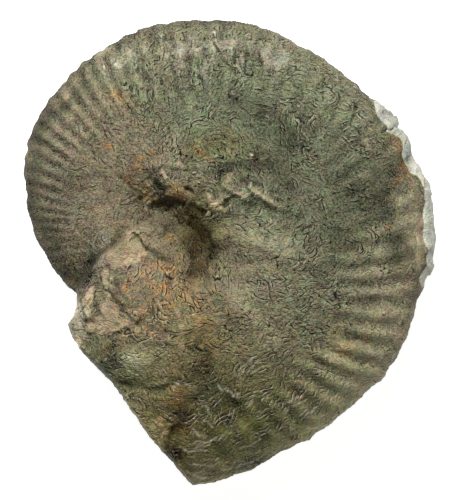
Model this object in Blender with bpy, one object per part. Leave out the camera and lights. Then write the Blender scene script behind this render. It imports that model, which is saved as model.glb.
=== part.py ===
"""A fossil ammonite of the genus Taramelliceras, lying on one flank.

It is the stone filling of a coiled shell, in one piece. The coil lies in the XY plane, the better
flank looks up, and the whorl grows clockwise as seen from above. Lengths here are in millimetres and
angles in degrees, clockwise from +X, and the mesh is scaled to metres at the end.
"""

import bmesh
import bpy
import numpy as np

MM = 0.001
NAME = "ammonite"
STONE_COLOUR = (0.165, 0.155, 0.100, 1.0)
STONE_ROUGHNESS = 0.62

# The coil: its middle, and the logarithmic spiral that the outer edge follows
COIL_X = -9.5
COIL_Y = 9.3
SPIRAL_RADIUS = 45.2
SPIRAL_ANGLE = 270.0
WHORL_GROWTH = 2.035
FIRST_ANGLE = 150.6

# Where the outer edge stands in or out of the spiral: angle, distance
SWELLS = (
    (150, -2.0), (160, -1.9), (172, -1.0), (184, -0.5), (198, 0.8), (214, 1.2), (232, 0.3), (250, 0.4),
    (264, -0.1), (276, -0.5), (288, -0.1), (304, -0.8), (327.5, -0.3), (331, 2.1), (341, 2.5), (348, 3.1),
    (354, 3.9), (358, 4.3), (365, 4.0), (370, 4.0), (382, 2.0), (390, 2.3), (400, 1.9), (406, 0.5),
    (412, 0.1), (421, -0.1), (429, -1.0), (437, -0.1), (449, 0.1),
)

# The last whorl is broken off: angle and radius of each corner of the break
BREAK = (
    (449.0, 64.2), (453.0, 59.1), (458.0, 54.9), (463.0, 50.6), (468.0, 47.0), (473.0, 43.7),
    (478.0, 42.5), (484.0, 41.9), (489.0, 40.9), (496.4, 38.2), (499.2, 35.0), (504.2, 32.3),
    (510.6, 33.5),
)
BREAK_ROUNDING = 0.62
BREAK_START = (446.5, 449.5)
RIM_CLOSING = 0.8
RIM_WIDTH = 2.5

# Thickness: the middle plane stands this far over the resting face. Each flank has its half breadth at
# one angle, its share of the whorl's growth, what is left of it at the broken end, and the width of the
# broken face
MIDDLE = 14.2
BREADTH_ANGLE = 448.0
UPPER = {"breadth": 19.0, "growth": 1.0, "worn": 0.66, "slope": 2.4}
LOWER = {"breadth": 15.6, "growth": 0.35, "worn": 0.85, "slope": 2.5}
CORE_BREADTH = 14.5
CORE_RADIUS = 12.0
WEAR = (452.0, 512.0)

# Where the broken end of the last whorl stands over the whorl before it
STEP_ANGLE = 144.5
STEP_RADIUS = 32.6
STEP_LEAN = 0.74
STEP_WIDTH = 1.0

# Ribs: rib number and angle, seen from the point that the ribs run towards
RIB_FOCUS = (-6.9, 4.6)
RIB_COUNT = (
    (0, 158.8), (8, 189.2), (10, 197.7), (20, 243.3), (24, 265.1), (28, 286.7), (33, 315.7), (36, 334.3),
    (40, 360.1), (42, 373.7), (44, 386.2), (46, 397.9), (48, 409.8), (50, 422.1), (52, 433.2), (55, 449.5),
)
RIB_HEIGHT = (
    (150, 0.20), (174, 0.25), (186, 0.40), (202, 0.60), (230, 0.65), (250, 0.52), (266, 0.42), (290, 0.28),
    (325, 0.22), (337, 0.34), (352, 0.30), (368, 0.50), (382, 0.72), (402, 0.80), (433, 0.62), (449, 0.30),
    (452, 0.0), (510, 0.0),
)
RIB_AT_RIM = ((150, 1.0), (190, 0.8), (212, 0.5), (250, 0.6), (290, 0.8), (375, 0.4), (449, 0.3))
RIB_START = (
    (150, 0.66), (198, 0.68), (220, 0.58), (245, 0.52), (285, 0.50), (300, 0.56), (350, 0.56), (372, 0.58),
    (386, 0.64), (398, 0.68), (449, 0.70),
)
RIB_RISE = 0.16
RIB_END = (0.86, 1.0)
RIB_LEAN = (
    (150, -2.0), (205, -4.0), (238, -7.5), (265, 2.0), (286, 6.0), (320, 20.0), (353, 22.0), (380, 28.0),
    (449, 29.0),
)
RIB_MEASURED_AT = 0.8
NODE_SHARE = 0.6
NODE_PLACE = 0.9
NODE_WIDTH = 0.035
SCALLOP_SHARE = 0.5

# How full the whorl's section is towards the outer edge, and how round the edge is
SECTION_FULLNESS = 2.8
SECTION_ROUNDING = 0.58

# Navel on the hidden flank, one step down for each whorl: outer and inner radius, depth
NAVEL = ((8.4, 5.2, 4.2), (4.6, 2.2, 3.6))

# Lumps and dips on the upper flank: x, y, half length, half width, turn, height
LUMPS = (
    (-6.9, 15.6, 16.0, 5.6, -14.0, 2.6),
    (5.3, 16.3, 3.2, 1.8, -20.0, -0.9),
    (-14.9, 5.8, 4.0, 2.4, 35.0, 1.8),
    (-22.9, -0.6, 5.6, 4.0, 30.0, 1.4),
    (-22.7, -24.8, 7.0, 3.4, -20.0, 1.6),
    (-15.8, -39.5, 3.4, 6.5, 15.0, -1.2),
    (-13.0, -10.5, 9.0, 6.5, 0.0, 1.2),
    (-15.6, 50.3, 1.5, 1.5, 0.0, 1.3),
    (-3.9, 50.5, 1.5, 1.5, 0.0, 1.3),
)

# Ridges and grooves on the upper flank: points, half width, height
RIDGES = (
    (((-0.8, 16.6), (5.3, 13.4), (11.9, 10.4)), 1.7, 0.9),
    (((-5.3, 8.6), (2.5, 9.9), (10.2, 8.6)), 1.6, -0.7),
    (((-1.8, 5.5), (7.6, 3.2), (16.6, -2.5)), 3.0, 0.9),
    (((-3.4, -4.8), (2.5, -12.6), (10.7, -22.7)), 2.8, 0.9),
    (((-0.8, -2.5), (10.7, -2.5), (24.8, -4.8)), 2.2, -0.6),
    (((-0.4, 24.0), (7.6, 20.3), (14.2, 19.2)), 2.6, -0.9),
    (((-22.0, 4.0), (-18.6, 0.6), (-13.5, -2.4)), 0.8, -1.1),
    (((-5.8, -20.0), (-5.6, -30.2), (-11.2, -39.6), (-13.0, -48.0)), 2.8, -1.6),
    (((-30.4, -20.3), (-23.4, -17.3), (-15.2, -18.2), (-6.9, -22.4)), 1.3, -0.5),
    (((-23.6, -31.4), (-16.3, -32.1), (-8.8, -30.2)), 1.5, -1.1),
    (((-33.2, -8.3), (-31.8, -12.0), (-31.3, -15.6)), 1.2, 0.9),
)

# The navel on the upper flank, bent like a comma: points, half width and depth
PIT = (
    (((-23.5, 17.0), (-20.6, 14.4), (-17.4, 12.2)), 1.4, 1.2),
    (((-17.6, 12.4), (-14.8, 9.4), (-11.6, 7.4), (-8.8, 6.2)), 2.2, 3.0),
    (((-14.6, 8.6), (-11.4, 6.0), (-8.8, 4.0), (-7.0, 1.4), (-6.6, -1.4)), 3.0, 4.8),
    (((-9.4, 5.4), (-6.8, 2.4), (-5.6, -0.2)), 1.5, 5.6),
    (((-17.0, 15.6), (-15.6, 12.6)), 0.8, 1.4),
    (((-6.6, -1.0), (-6.6, -3.8), (-7.8, -6.5)), 2.6, 3.2),
    (((-14.6, 5.0), (-9.8, 0.8)), 4.4, 2.4),
)

# Calcite crust on the outer edge: where it starts and is whole, where it thins and ends, how wide it is,
# and the groove that parts it from the stone
CRUST_START = (328.5, 331.5)
CRUST_END = (380.0, 376.0)
CRUST_WIDTH = ((328, 3.0), (337, 3.0), (342, 1.7), (352, 2.0), (362, 2.7), (374, 2.2), (382, 1.5))
CRUST_GROOVE = 0.7
CRUST_GROOVE_WIDTH = 0.7

# The fine ball that the surface is drawn out of, and the faces that are kept
BALL_DIVISIONS = 8
FACES_OF_BALL = 20 * 4 ** (BALL_DIVISIONS - 1)
FACES_KEPT = 9700
SHARP_ANGLE = 50.0


def smooth(low, high, value):
    """0 below low, 1 above high, and an even curve between."""
    part = np.clip((value - low) / (high - low), 0.0, 1.0)
    return part * part * (3.0 - 2.0 * part)


def knots(table, value):
    """The value of a table of (place, amount) pairs, joined by even curves."""
    places, amounts = np.array(table, dtype=float).T
    index = np.clip(np.searchsorted(places, value) - 1, 0, len(places) - 2)
    part = smooth(0.0, 1.0, (value - places[index]) / (places[index + 1] - places[index]))
    return amounts[index] + part * (amounts[index + 1] - amounts[index])


def straight(table, value):
    """The value of a table of (place, amount) pairs, joined by straight lines."""
    places, amounts = np.array(table, dtype=float).T
    return np.interp(value, places, amounts)


def spiral(angle):
    return SPIRAL_RADIUS * WHORL_GROWTH ** ((angle - SPIRAL_ANGLE) / 360.0)


def whole_edge(angle):
    """Outer edge of the unbroken whorl."""
    return spiral(angle) + knots(SWELLS, angle)


def edge(angle):
    """Outline of the fossil, broken end included."""
    return np.where(angle < BREAK[0][0], whole_edge(angle), straight(BREAK, angle))


def turned(angle, first):
    """The same direction as angle, in the turn that begins at first."""
    return np.mod(angle - first, 360.0) + first


def along(x, y, points):
    """Distance of each (x, y) from a line through the points."""
    nearest = np.full(x.shape, np.inf)
    for (ax, ay), (bx, by) in zip(points, points[1:]):
        run = (bx - ax) ** 2 + (by - ay) ** 2
        part = np.clip(((x - ax) * (bx - ax) + (y - ay) * (by - ay)) / run, 0.0, 1.0)
        nearest = np.minimum(nearest, np.hypot(x - ax - part * (bx - ax), y - ay - part * (by - ay)))
    return nearest


def bell(distance, width):
    """1 at no distance, falling evenly to 0 past the width."""
    return np.exp(-((distance / width) ** 2))


def oval(x, y, middle_x, middle_y, length, width, turn):
    """1 in the middle of an oval, falling evenly to 0 around it."""
    cos, sin = np.cos(np.radians(turn)), np.sin(np.radians(turn))
    across, up = x - middle_x, y - middle_y
    return bell(across * cos + up * sin, length) * bell(up * cos - across * sin, width)


def whorl(flank, radius, turn):
    """Height of a flank over the middle plane, at this turn of the growing whorl."""
    grown = WHORL_GROWTH ** (flank["growth"] * (turn - BREADTH_ANGLE) / 360.0)
    left = 1.0 - (1.0 - flank["worn"]) * smooth(*WEAR, turn)
    breadth = flank["breadth"] * grown * left
    breadth = CORE_BREADTH + (breadth - CORE_BREADTH) * smooth(0.0, CORE_RADIUS, radius)
    outward = np.clip(radius / whole_edge(turn), 0.0, 1.0)
    rounded = (1.0 - outward ** SECTION_FULLNESS) ** SECTION_ROUNDING
    face = np.clip((straight(BREAK, turn) - radius) / flank["slope"], 0.0, 1.0) ** BREAK_ROUNDING
    broken = smooth(*BREAK_START, turn)
    return breadth * rounded * (1.0 + (face - 1.0) * broken)


def coil(flank, radius, angle):
    """Height of a whole flank, with the step where the last whorl's broken end covers the older one."""
    border = STEP_ANGLE + (STEP_RADIUS - radius) * STEP_LEAN
    past = turned(angle - border, -180.0)
    older = whorl(flank, radius, border + past)
    newer = whorl(flank, radius, border + past + 360.0)
    stepped = older + (newer - older) * smooth(-STEP_WIDTH, STEP_WIDTH, -np.radians(past) * radius)
    return np.where(np.abs(past) < 90.0, stepped, whorl(flank, radius, turned(angle, border)))


def ribs(x, y, radius, angle):
    """Height of the ribs: above zero on a crest and below it in a groove."""
    turn = turned(np.degrees(np.arctan2(RIB_FOCUS[1] - y, x - RIB_FOCUS[0])), FIRST_ANGLE)
    outward = radius / whole_edge(angle)
    lean = knots(RIB_LEAN, turn) * (outward - RIB_MEASURED_AT)
    numbers, places = np.array(RIB_COUNT, dtype=float).T
    wave = np.cos(2.0 * np.pi * np.interp(turn + lean, places, numbers))
    node = 1.0 + NODE_SHARE * bell(outward - NODE_PLACE, NODE_WIDTH) * (wave > 0.0)
    fading = 1.0 + (knots(RIB_AT_RIM, turn) - 1.0) * smooth(*RIB_END, outward)
    begun = smooth(0.0, RIB_RISE, outward - knots(RIB_START, turn))
    return knots(RIB_HEIGHT, turn) * begun * fading * wave * node


def upper(x, y, radius, angle):
    """Height of the upper flank over the middle plane, with its damage."""
    height = np.zeros_like(x)
    for middle_x, middle_y, length, width, turn, rise in LUMPS:
        height += rise * oval(x, y, middle_x, middle_y, length, width, turn)
    for points, width, rise in RIDGES:
        height += rise * bell(along(x, y, points), width)
    pit = np.zeros_like(x)
    for points, width, depth in PIT:
        pit = np.maximum(pit, depth * bell(along(x, y, points), width))
    crusted = smooth(*CRUST_START, angle) * smooth(*CRUST_END, angle)
    inward = edge(angle) - radius
    height -= CRUST_GROOVE * crusted * bell(inward - knots(CRUST_WIDTH, angle), CRUST_GROOVE_WIDTH)
    return coil(UPPER, radius, angle) + (height - pit) * smooth(0.0, RIM_WIDTH, inward)


def lower(radius, angle):
    """Height of the hidden flank under the middle plane, below zero, with its navel."""
    navel = sum(depth * smooth(outer, inner, radius) for outer, inner, depth in NAVEL)
    return navel - coil(LOWER, radius, angle)


def fossil(ball):
    """The surface points of the fossil, in millimetres, for the points of a ball of radius 1."""
    angle = turned(-np.degrees(np.arctan2(ball[:, 1], ball[:, 0])), FIRST_ANGLE)
    outward = np.minimum(np.hypot(ball[:, 0], ball[:, 1]), 1.0)
    outward = 0.5 * (outward + np.arcsin(outward) / (np.pi / 2.0))
    radius = outward * edge(angle)
    across, down = np.cos(np.radians(angle)), np.sin(np.radians(angle))
    x = COIL_X + radius * across
    y = COIL_Y - radius * down

    relief = ribs(x, y, radius, angle)
    sideways = outward ** 6
    side = np.sign(np.round(ball[:, 2], 6))
    height = np.where(side > 0, upper(x, y, radius, angle), lower(radius, angle))
    height = (height + side * relief * (1.0 - sideways)) * np.abs(side)
    height *= np.clip((edge(angle) - radius) / RIM_CLOSING, 0.0, 1.0) ** 0.5
    x += SCALLOP_SHARE * relief * sideways * across
    y -= SCALLOP_SHARE * relief * sideways * down
    z = np.maximum(MIDDLE + height, 0.0)
    points = np.stack([x, y, z], axis=1)
    points[:, :2] -= (points[:, :2].min(axis=0) + points[:, :2].max(axis=0)) / 2.0
    return points


def stone():
    """Grey-green limestone filling, dull with a slight polish."""
    material = bpy.data.materials.new("stone")
    material.use_nodes = True
    shader = material.node_tree.nodes["Principled BSDF"]
    shader.inputs["Base Color"].default_value = STONE_COLOUR
    shader.inputs["Roughness"].default_value = STONE_ROUGHNESS
    shader.inputs["Metallic"].default_value = 0.0
    return material


def ammonite(collection):
    """The fossil: a fine ball drawn out to its surface, then thinned to the faces that it needs."""
    ball = bmesh.new()
    bmesh.ops.create_icosphere(ball, subdivisions=BALL_DIVISIONS, radius=1.0)
    mesh = bpy.data.meshes.new(NAME)
    ball.to_mesh(mesh)
    ball.free()
    points = np.empty(len(mesh.vertices) * 3)
    mesh.vertices.foreach_get("co", points)
    mesh.vertices.foreach_set("co", (fossil(points.reshape(-1, 3)) * MM).ravel())
    mesh.update()
    mesh.shade_smooth()
    mesh.set_sharp_from_angle(angle=np.radians(SHARP_ANGLE))
    mesh.materials.append(stone())

    body = bpy.data.objects.new(NAME, mesh)
    collection.objects.link(body)
    thinned = body.modifiers.new("thinned", "DECIMATE")
    thinned.ratio = FACES_KEPT / FACES_OF_BALL
    thinned.use_collapse_triangulate = True


def main():
    for old in list(bpy.data.objects):
        bpy.data.objects.remove(old, do_unlink=True)
    collection = bpy.data.collections.new(NAME)
    bpy.context.scene.collection.children.link(collection)
    ammonite(collection)


main()
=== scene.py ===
"""The looks of a fossil Taramelliceras ammonite that lies on one flank.

The fossil is one closed mesh, drawn from the same spiral, section, ribs, lumps and navel as the solid that
it stands for, with finer relief: frilled suture lines, flaked layers, chips, a lumpy calcite crust and
grain. Lengths are in millimetres and angles in degrees, clockwise from +X as seen from above, until the
mesh is scaled to metres.
"""

import math

import bpy
import numpy as np
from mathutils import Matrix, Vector


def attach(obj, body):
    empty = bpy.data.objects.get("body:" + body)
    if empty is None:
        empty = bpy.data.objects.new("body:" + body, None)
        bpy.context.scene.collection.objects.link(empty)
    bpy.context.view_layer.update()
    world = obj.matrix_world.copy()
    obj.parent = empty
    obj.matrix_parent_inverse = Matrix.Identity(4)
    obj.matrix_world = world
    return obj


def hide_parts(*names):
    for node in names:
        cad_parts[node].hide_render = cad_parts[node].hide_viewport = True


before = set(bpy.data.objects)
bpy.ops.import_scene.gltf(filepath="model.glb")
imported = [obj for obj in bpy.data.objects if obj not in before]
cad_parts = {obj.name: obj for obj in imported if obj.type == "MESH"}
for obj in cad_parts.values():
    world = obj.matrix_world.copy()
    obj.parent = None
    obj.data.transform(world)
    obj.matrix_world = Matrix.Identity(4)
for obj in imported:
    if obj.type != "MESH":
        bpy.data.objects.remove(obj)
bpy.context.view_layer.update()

MM = 0.001

# The photograph's frame, and what it shows: the middle of the picture, seen from straight above
IMAGE_WIDTH = 456
IMAGE_HEIGHT = 500
PIXEL = 0.235
MIDDLE_COLUMN = 227.4
MIDDLE_ROW = 251.0
CAMERA_DISTANCE = 0.75
SENSOR = 0.024

# The coil: its middle, and the logarithmic spiral that the outer edge follows
COIL_X = -9.5
COIL_Y = 9.3
SPIRAL_RADIUS = 45.2
SPIRAL_ANGLE = 270.0
WHORL_GROWTH = 2.035
FIRST_ANGLE = 150.6

# Where the outer edge stands out of the spiral, or in below zero: angle, distance
SWELLS = (
    (150, -2.3), (160, -2.0), (172, -1.0), (184, -0.5), (198, 0.7), (206, 1.1), (216, 1.0), (226, 0.3),
    (232, 0.3), (246, 0.0), (256, 0.3), (264, 0.0), (276, -0.6), (288, -0.3), (304, -1.0), (325, -0.5),
    (328, 0.1), (330, 1.2), (334.5, 2.2), (337, 2.2), (338.1, 1.4), (339.5, 2.3), (342, 2.7), (346, 2.0),
    (350, 2.9), (353.5, 4.1), (364, 3.8), (372, 3.9), (377, 2.6), (381, 1.8), (390, 2.2), (400, 1.8),
    (406, 0.5), (412, 0.1), (420, -0.1), (428, -1.2), (437, -0.3), (449, 0.0),
)

# The last whorl is broken off: angle and radius of each corner of the break
BREAK = (
    (449.0, 64.2), (453.0, 59.1), (458.0, 54.6), (463.0, 50.6), (468.0, 47.0), (473.0, 43.7),
    (478.0, 42.5), (484.0, 41.8), (488.0, 41.2), (493.9, 39.6), (496.1, 38.8), (497.0, 36.4),
    (499.3, 34.3), (503.2, 32.3), (510.6, 33.5),
)
BREAK_ROUNDING = 0.62
BREAK_START = (446.5, 449.5)
RIM_CLOSING = 0.8
RIM_WIDTH = 2.5

# Thickness: the middle plane stands this far over the resting face. Each flank has its half breadth at
# one angle, its share of the whorl's growth, what is left of it at the broken end, and the width of the
# broken face
MIDDLE = 14.2
BREADTH_ANGLE = 448.0
UPPER = {"breadth": 19.0, "growth": 1.0, "worn": 0.66, "slope": 1.6}
LOWER = {"breadth": 15.6, "growth": 0.35, "worn": 0.85, "slope": 1.8}
CORE_BREADTH = 14.5
CORE_RADIUS = 12.0
WEAR = (452.0, 512.0)

# Where the broken end of the last whorl stands over the whorl before it
STEP_ANGLE = 143.4
STEP_RADIUS = 32.6
STEP_LEAN = 0.74
STEP_WIDTH = 1.0

# Ribs: rib number and angle, seen from the point that the ribs run towards; their height, what is left of
# it at the rim, and where they start, rise, end and lean; and the knobs and scallops that they make
RIB_FOCUS = (-6.9, 4.6)
RIB_COUNT = (
    (0, 158.8), (8, 189.2), (10, 197.7), (20, 243.3), (24, 264.7), (28, 286.2), (33, 315.2), (36, 333.9),
    (40, 359.8), (42, 373.5), (44, 386.2), (46, 397.9), (48, 409.8), (50, 422.1), (52, 433.2),
    (55, 449.5),
)
RIB_HEIGHT = (
    (150, 0.08), (174, 0.11), (186, 0.24), (202, 0.46), (230, 0.52), (250, 0.42), (266, 0.34),
    (290, 0.22), (325, 0.2), (337, 0.3), (352, 0.24), (368, 0.4), (382, 0.6), (402, 0.74), (433, 0.62),
    (449, 0.3), (452, 0.0), (510, 0.0),
)
RIB_AT_RIM = ((150, 1.0), (190, 0.8), (212, 0.5), (250, 0.6), (290, 0.8), (375, 0.4), (449, 0.3))
RIB_START = (
    (150, 0.66), (198, 0.68), (220, 0.58), (245, 0.52), (285, 0.5), (300, 0.56), (350, 0.56), (372, 0.58),
    (386, 0.64), (398, 0.68), (449, 0.7),
)
RIB_RISE = 0.16
RIB_END = (0.86, 1.0)
RIB_LEAN = (
    (150, -2.0), (205, -4.0), (238, -7.5), (265, 2.0), (286, 6.0), (320, 20.0), (353, 22.0), (380, 28.0),
    (449, 29.0),
)
RIB_MEASURED_AT = 0.8
NODE_SHARE = 0.6
NODE_PLACE = 0.9
NODE_WIDTH = 0.035
SCALLOP_SHARE = 0.5

# How full the whorl's section is towards the outer edge, and how round the edge is
SECTION_FULLNESS = 2.8
SECTION_ROUNDING = 0.58

# Navel on the hidden flank, one step down for each whorl: outer and inner radius, depth
NAVEL = ((8.4, 5.2, 4.2), (4.6, 2.2, 3.6))

# Lumps and dips on the upper flank: x, y, half length, half width, turn, height
LUMPS = (
    (-6.9, 15.6, 16.0, 5.6, -14.0, 2.6),
    (5.3, 16.3, 3.2, 1.8, -20.0, -0.9),
    (-14.9, 5.8, 4.0, 2.4, 35.0, 1.8),
    (-22.9, -0.6, 5.6, 4.0, 30.0, 1.4),
    (-22.7, -24.8, 7.0, 3.4, -20.0, 1.6),
    (-15.8, -39.5, 3.4, 6.5, 15.0, -1.2),
    (-13.0, -10.5, 9.0, 6.5, 0.0, 1.2),
    (-15.6, 50.3, 1.5, 1.5, 0.0, 1.3),
    (-3.9, 50.5, 1.5, 1.5, 0.0, 1.3),
)

# Ridges and grooves on the upper flank: points, half width, height
RIDGES = (
    (((-0.8, 16.6), (5.3, 13.4), (11.9, 10.4)), 1.7, 0.9),
    (((-5.3, 8.6), (2.5, 9.9), (10.2, 8.6)), 1.6, -0.7),
    (((-1.8, 5.5), (7.6, 3.2), (16.6, -2.5)), 3.0, 0.9),
    (((-3.4, -4.8), (2.5, -12.6), (10.7, -22.7)), 2.8, 0.9),
    (((-0.8, -2.5), (10.7, -2.5), (24.8, -4.8)), 2.2, -0.6),
    (((-0.4, 24.0), (7.6, 20.3), (14.2, 19.2)), 2.6, -0.9),
    (((-22.0, 4.0), (-18.6, 0.6), (-13.5, -2.4)), 0.8, -1.1),
    (((-5.8, -20.0), (-5.6, -30.2), (-11.2, -39.6), (-13.0, -48.0)), 2.8, -1.6),
    (((-30.4, -20.3), (-23.4, -17.3), (-15.2, -18.2), (-6.9, -22.4)), 1.3, -0.5),
    (((-23.6, -31.4), (-16.3, -32.1), (-8.8, -30.2)), 1.5, -1.1),
    (((-33.2, -8.3), (-31.8, -12.0), (-31.3, -15.6)), 1.2, 0.9),
)

# The navel on the upper flank, bent like a comma: points, half width and depth
PIT = (
    (((-23.5, 17.0), (-20.6, 14.4), (-17.4, 12.2)), 1.4, 0.6),
    (((-17.6, 12.4), (-14.8, 9.4), (-11.6, 7.4), (-8.8, 6.2)), 2.4, 2.0),
    (((-14.6, 8.6), (-11.4, 6.0), (-8.8, 4.0), (-7.0, 1.4), (-6.6, -1.4)), 3.0, 5.0),
    (((-9.4, 5.4), (-6.8, 2.4), (-5.6, -0.2)), 1.5, 5.6),
    (((-17.0, 15.6), (-15.6, 12.6)), 0.8, 1.4),
    (((-6.6, -1.0), (-6.6, -3.8), (-7.8, -6.5)), 2.6, 3.2),
    (((-14.6, 5.0), (-9.8, 0.8)), 4.4, 2.4),
)

# Calcite crust on the outer edge: where it starts and is whole, where it thins and ends, how wide it is,
# and the groove that parts it from the stone
CRUST_START = (328.5, 330.0)
CRUST_END = (380.0, 376.0)
CRUST_WIDTH = (
    (329, 1.9), (334, 4.2), (338, 3.5), (341, 2.4), (345, 2.7), (349, 3.5), (353, 2.2), (357, 2.6),
    (361, 3.2), (366, 3.1), (370, 2.5), (374, 2.2), (379, 1.5),
)
CRUST_GROOVE = 0.5
CRUST_GROOVE_WIDTH = 0.7

# The mesh: rings of points from the middle of the upper flank over the outer edge to the middle of the
# hidden one, closer together on the upper flank
RINGS_ABOVE = 152
RINGS_BELOW = 92
POINTS_FIRST_RING = 6

# Painted shade on the rim, and painted light where the amount is below zero: how much darker the rim is
# painted than the flank, or lighter below zero: angle, amount
RIM_PAINTED_SHADE_AND_LIGHT = (
    (150, 0.5), (256, 0.5), (267, 0.2), (282, 0.2), (298, 0.0), (325, 0.1), (372, 0.3), (384, -0.2),
    (396, -0.6), (404, -1.0), (424, -1.0), (436, -0.7), (449, -0.6), (452, -0.3), (462, -0.3), (472, 0.0),
    (482, -0.9), (494, -0.9), (500, 0.0), (511, 0.0),
)
# How far in from the outer edge the rim's painted shade and light reach: angle, width
RIM_DEPTH = ((150, 2.2), (375, 2.2), (395, 4.0), (440, 4.0), (450, 2.5), (511, 2.5))

# Suture lines: fern-shaped lobes of this size, length and width against it, the leaflets on their stems,
# and bundles of lines
FERN_SIZE = 5.6
FERN_LENGTH = 1.5
FERN_WIDTH = 3.0
LEAFLET_SPACING = 1.6
LEAFLET_LEAN = 1.4
BUNDLE_SPACING = 0.95

# Which way the lines run: picture pixel, direction from the right of the picture towards its top
COMBED = (
    (303, 122, 130), (334, 107, 75), (354, 113, 80), (355, 131, 35), (325, 159, 35), (290, 132, 135),
    (267, 161, 130), (364, 162, 20), (358, 220, 5), (340, 190, 20), (262, 197, 145), (235, 150, 150),
    (200, 90, 92), (245, 65, 90), (120, 100, 125), (60, 100, 130), (50, 160, 155), (50, 220, 178),
    (250, 240, 172), (262, 284, 132), (340, 350, 145), (253, 358, 32), (232, 382, -18), (188, 380, 15),
    (229, 394, -15), (210, 422, -50), (208, 441, 12), (208, 459, -2), (203, 474, -20), (292, 396, 30),
    (311, 407, 22), (304, 427, 0), (265, 440, 30), (141, 358, -40), (100, 370, -48), (160, 300, 60),
    (370, 290, 175), (180, 190, 150),
)

# Radius of the two discs that the flanks' textures are laid out in, and their distance from the border
UPPER_DISC = 0.355
HIDDEN_DISC = 0.22
DISC_BORDER = 0.004

# Random numbers of the noise and the cells: their seeds, and the size of the tables that they repeat
NOISE_SEED = 11
NOISE_LAYERS = 14
CELLS_SEED = 23
LATTICE = 48

# Keeps a length that directions are divided by above zero
TINY = 1e-9

# Ledges, in picture pixels: points along the edge, with the raised side on the right of its run, the rise,
# how far the raised ground reaches back, and how sharp the edge is
LEDGES = (
    (((80, 290), (88, 277), (104, 256), (117, 243), (140, 229), (150, 224)), 1.5, 5.0, 0.35),
    (((173, 262), (160, 258), (150, 248), (141, 236), (134, 231)), 0.5, 3.0, 0.25),
    (((133, 313), (121, 297), (107, 285), (106, 266)), 0.5, 2.6, 0.2),
    (((96, 318), (90, 304), (88, 294), (96, 286)), 0.5, 2.0, 0.25),
    (((140, 308), (124, 300), (118, 286), (124, 270)), 0.35, 2.2, 0.2),
    (((283, 211), (267, 204), (254, 199), (246, 190), (241, 181)), 0.5, 3.0, 0.25),
    (((243, 201), (233, 197), (226, 191), (226, 183), (233, 175)), 0.45, 2.6, 0.25),
    (((226, 213), (214, 212), (207, 204), (204, 195)), 0.5, 2.4, 0.2),
    (((211, 236), (204, 217), (192, 206), (176, 203), (163, 195), (156, 183)), 0.7, 4.5, 0.9),
    (((188, 170), (178, 171), (166, 168), (158, 172)), 0.5, 2.0, 0.25),
    (((141, 203), (137, 192), (130, 183), (131, 172), (139, 161), (152, 155)), 0.5, 3.0, 0.3),
    (((82, 332), (106, 335), (123, 329), (138, 321)), -0.6, 3.0, 0.3),
    (((128, 386), (160, 378), (192, 381)), 0.6, 3.0, 0.3),
    (((150, 402), (158, 420), (168, 446), (178, 462)), 0.7, 3.0, 0.35),
    (((78, 236), (92, 244), (104, 240)), 0.3, 1.5, 0.15),
)

# Where the rock is craggy or flaked, as ovals in picture pixels: column, row, half length, half width,
# share, and the turn of the length from the right of the picture towards its top, where there is one
CRAGS = (
    (190, 190, 34, 14, 0.9, -25), (225, 205, 24, 12, 0.7, -30), (160, 205, 18, 16, 0.5),
    (255, 188, 34, 12, 0.5, -22), (205, 235, 14, 24, 0.4), (150, 245, 26, 10, 0.4, -40),
    (180, 425, 12, 30, 0.4), (92, 300, 12, 24, 0.2, 40), (182, 166, 18, 8, 0.8),
)
FLAKES = (
    (108, 304, 16, 22, 0.7), (105, 345, 18, 14, 0.9), (120, 385, 26, 16, 0.8, -45),
    (160, 425, 16, 26, 0.7, -25), (140, 250, 20, 12, 0.4), (250, 205, 26, 12, 0.8, -25),
    (215, 182, 30, 10, 0.7, -20), (405, 215, 8, 55, 0.7, 5),
)

# Where the lines are raised and bright, and where they are faint, as ovals in the same terms
STROKED = (
    (250, 420, 110, 56, 1.0, 10), (330, 375, 60, 36, 0.7, 40), (220, 190, 56, 22, 0.8, -25),
    (150, 360, 50, 30, 0.8, -40), (158, 305, 42, 36, 0.6), (330, 120, 60, 44, 0.6),
    (190, 100, 50, 40, 0.3), (280, 290, 50, 40, 0.4), (120, 70, 20, 14, 0.5),
)
FAINT = (
    (48, 150, 36, 100, 0.85), (105, 210, 26, 26, 0.7), (405, 225, 13, 60, 0.7),
    (250, 243, 40, 12, 0.6, -8), (385, 320, 30, 50, 0.4, -20), (90, 90, 30, 24, 0.6, 40),
    (160, 235, 16, 16, 0.6), (135, 145, 20, 14, 0.5),
)

# Stains, as ovals in the same terms. Some dark and brown stains are painted shade, in the pit, under the
# ledges and along the rim. The tables of lighter and darker tone are no colours of their own: there the
# stone is lighter or darker, partly in its own tone and partly as painted light and painted shade, and a
# share may pass 1
RUST = (
    (142, 166, 18, 5, 0.4, 31), (393, 138, 8, 6, 0.5, -45), (145, 197, 8, 6, 0.6), (175, 193, 9, 5, 0.7),
    (170, 238, 5, 3, 1.0), (160, 264, 12, 8, 0.5), (127, 286, 4, 4, 0.9), (165, 292, 34, 30, 0.6),
    (105, 147, 8, 5, 0.8), (118, 98, 14, 7, 0.6, -20), (402, 164, 21, 4, 0.8, -71), (387, 228, 4, 3, 1.0),
    (197, 150, 12, 6, 0.45), (350, 345, 30, 18, 0.35, 30), (205, 340, 12, 30, 0.4),
    (180, 400, 20, 40, 0.5), (110, 345, 14, 6, 0.5, 20), (140, 335, 24, 8, 0.4, 10),
)
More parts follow.
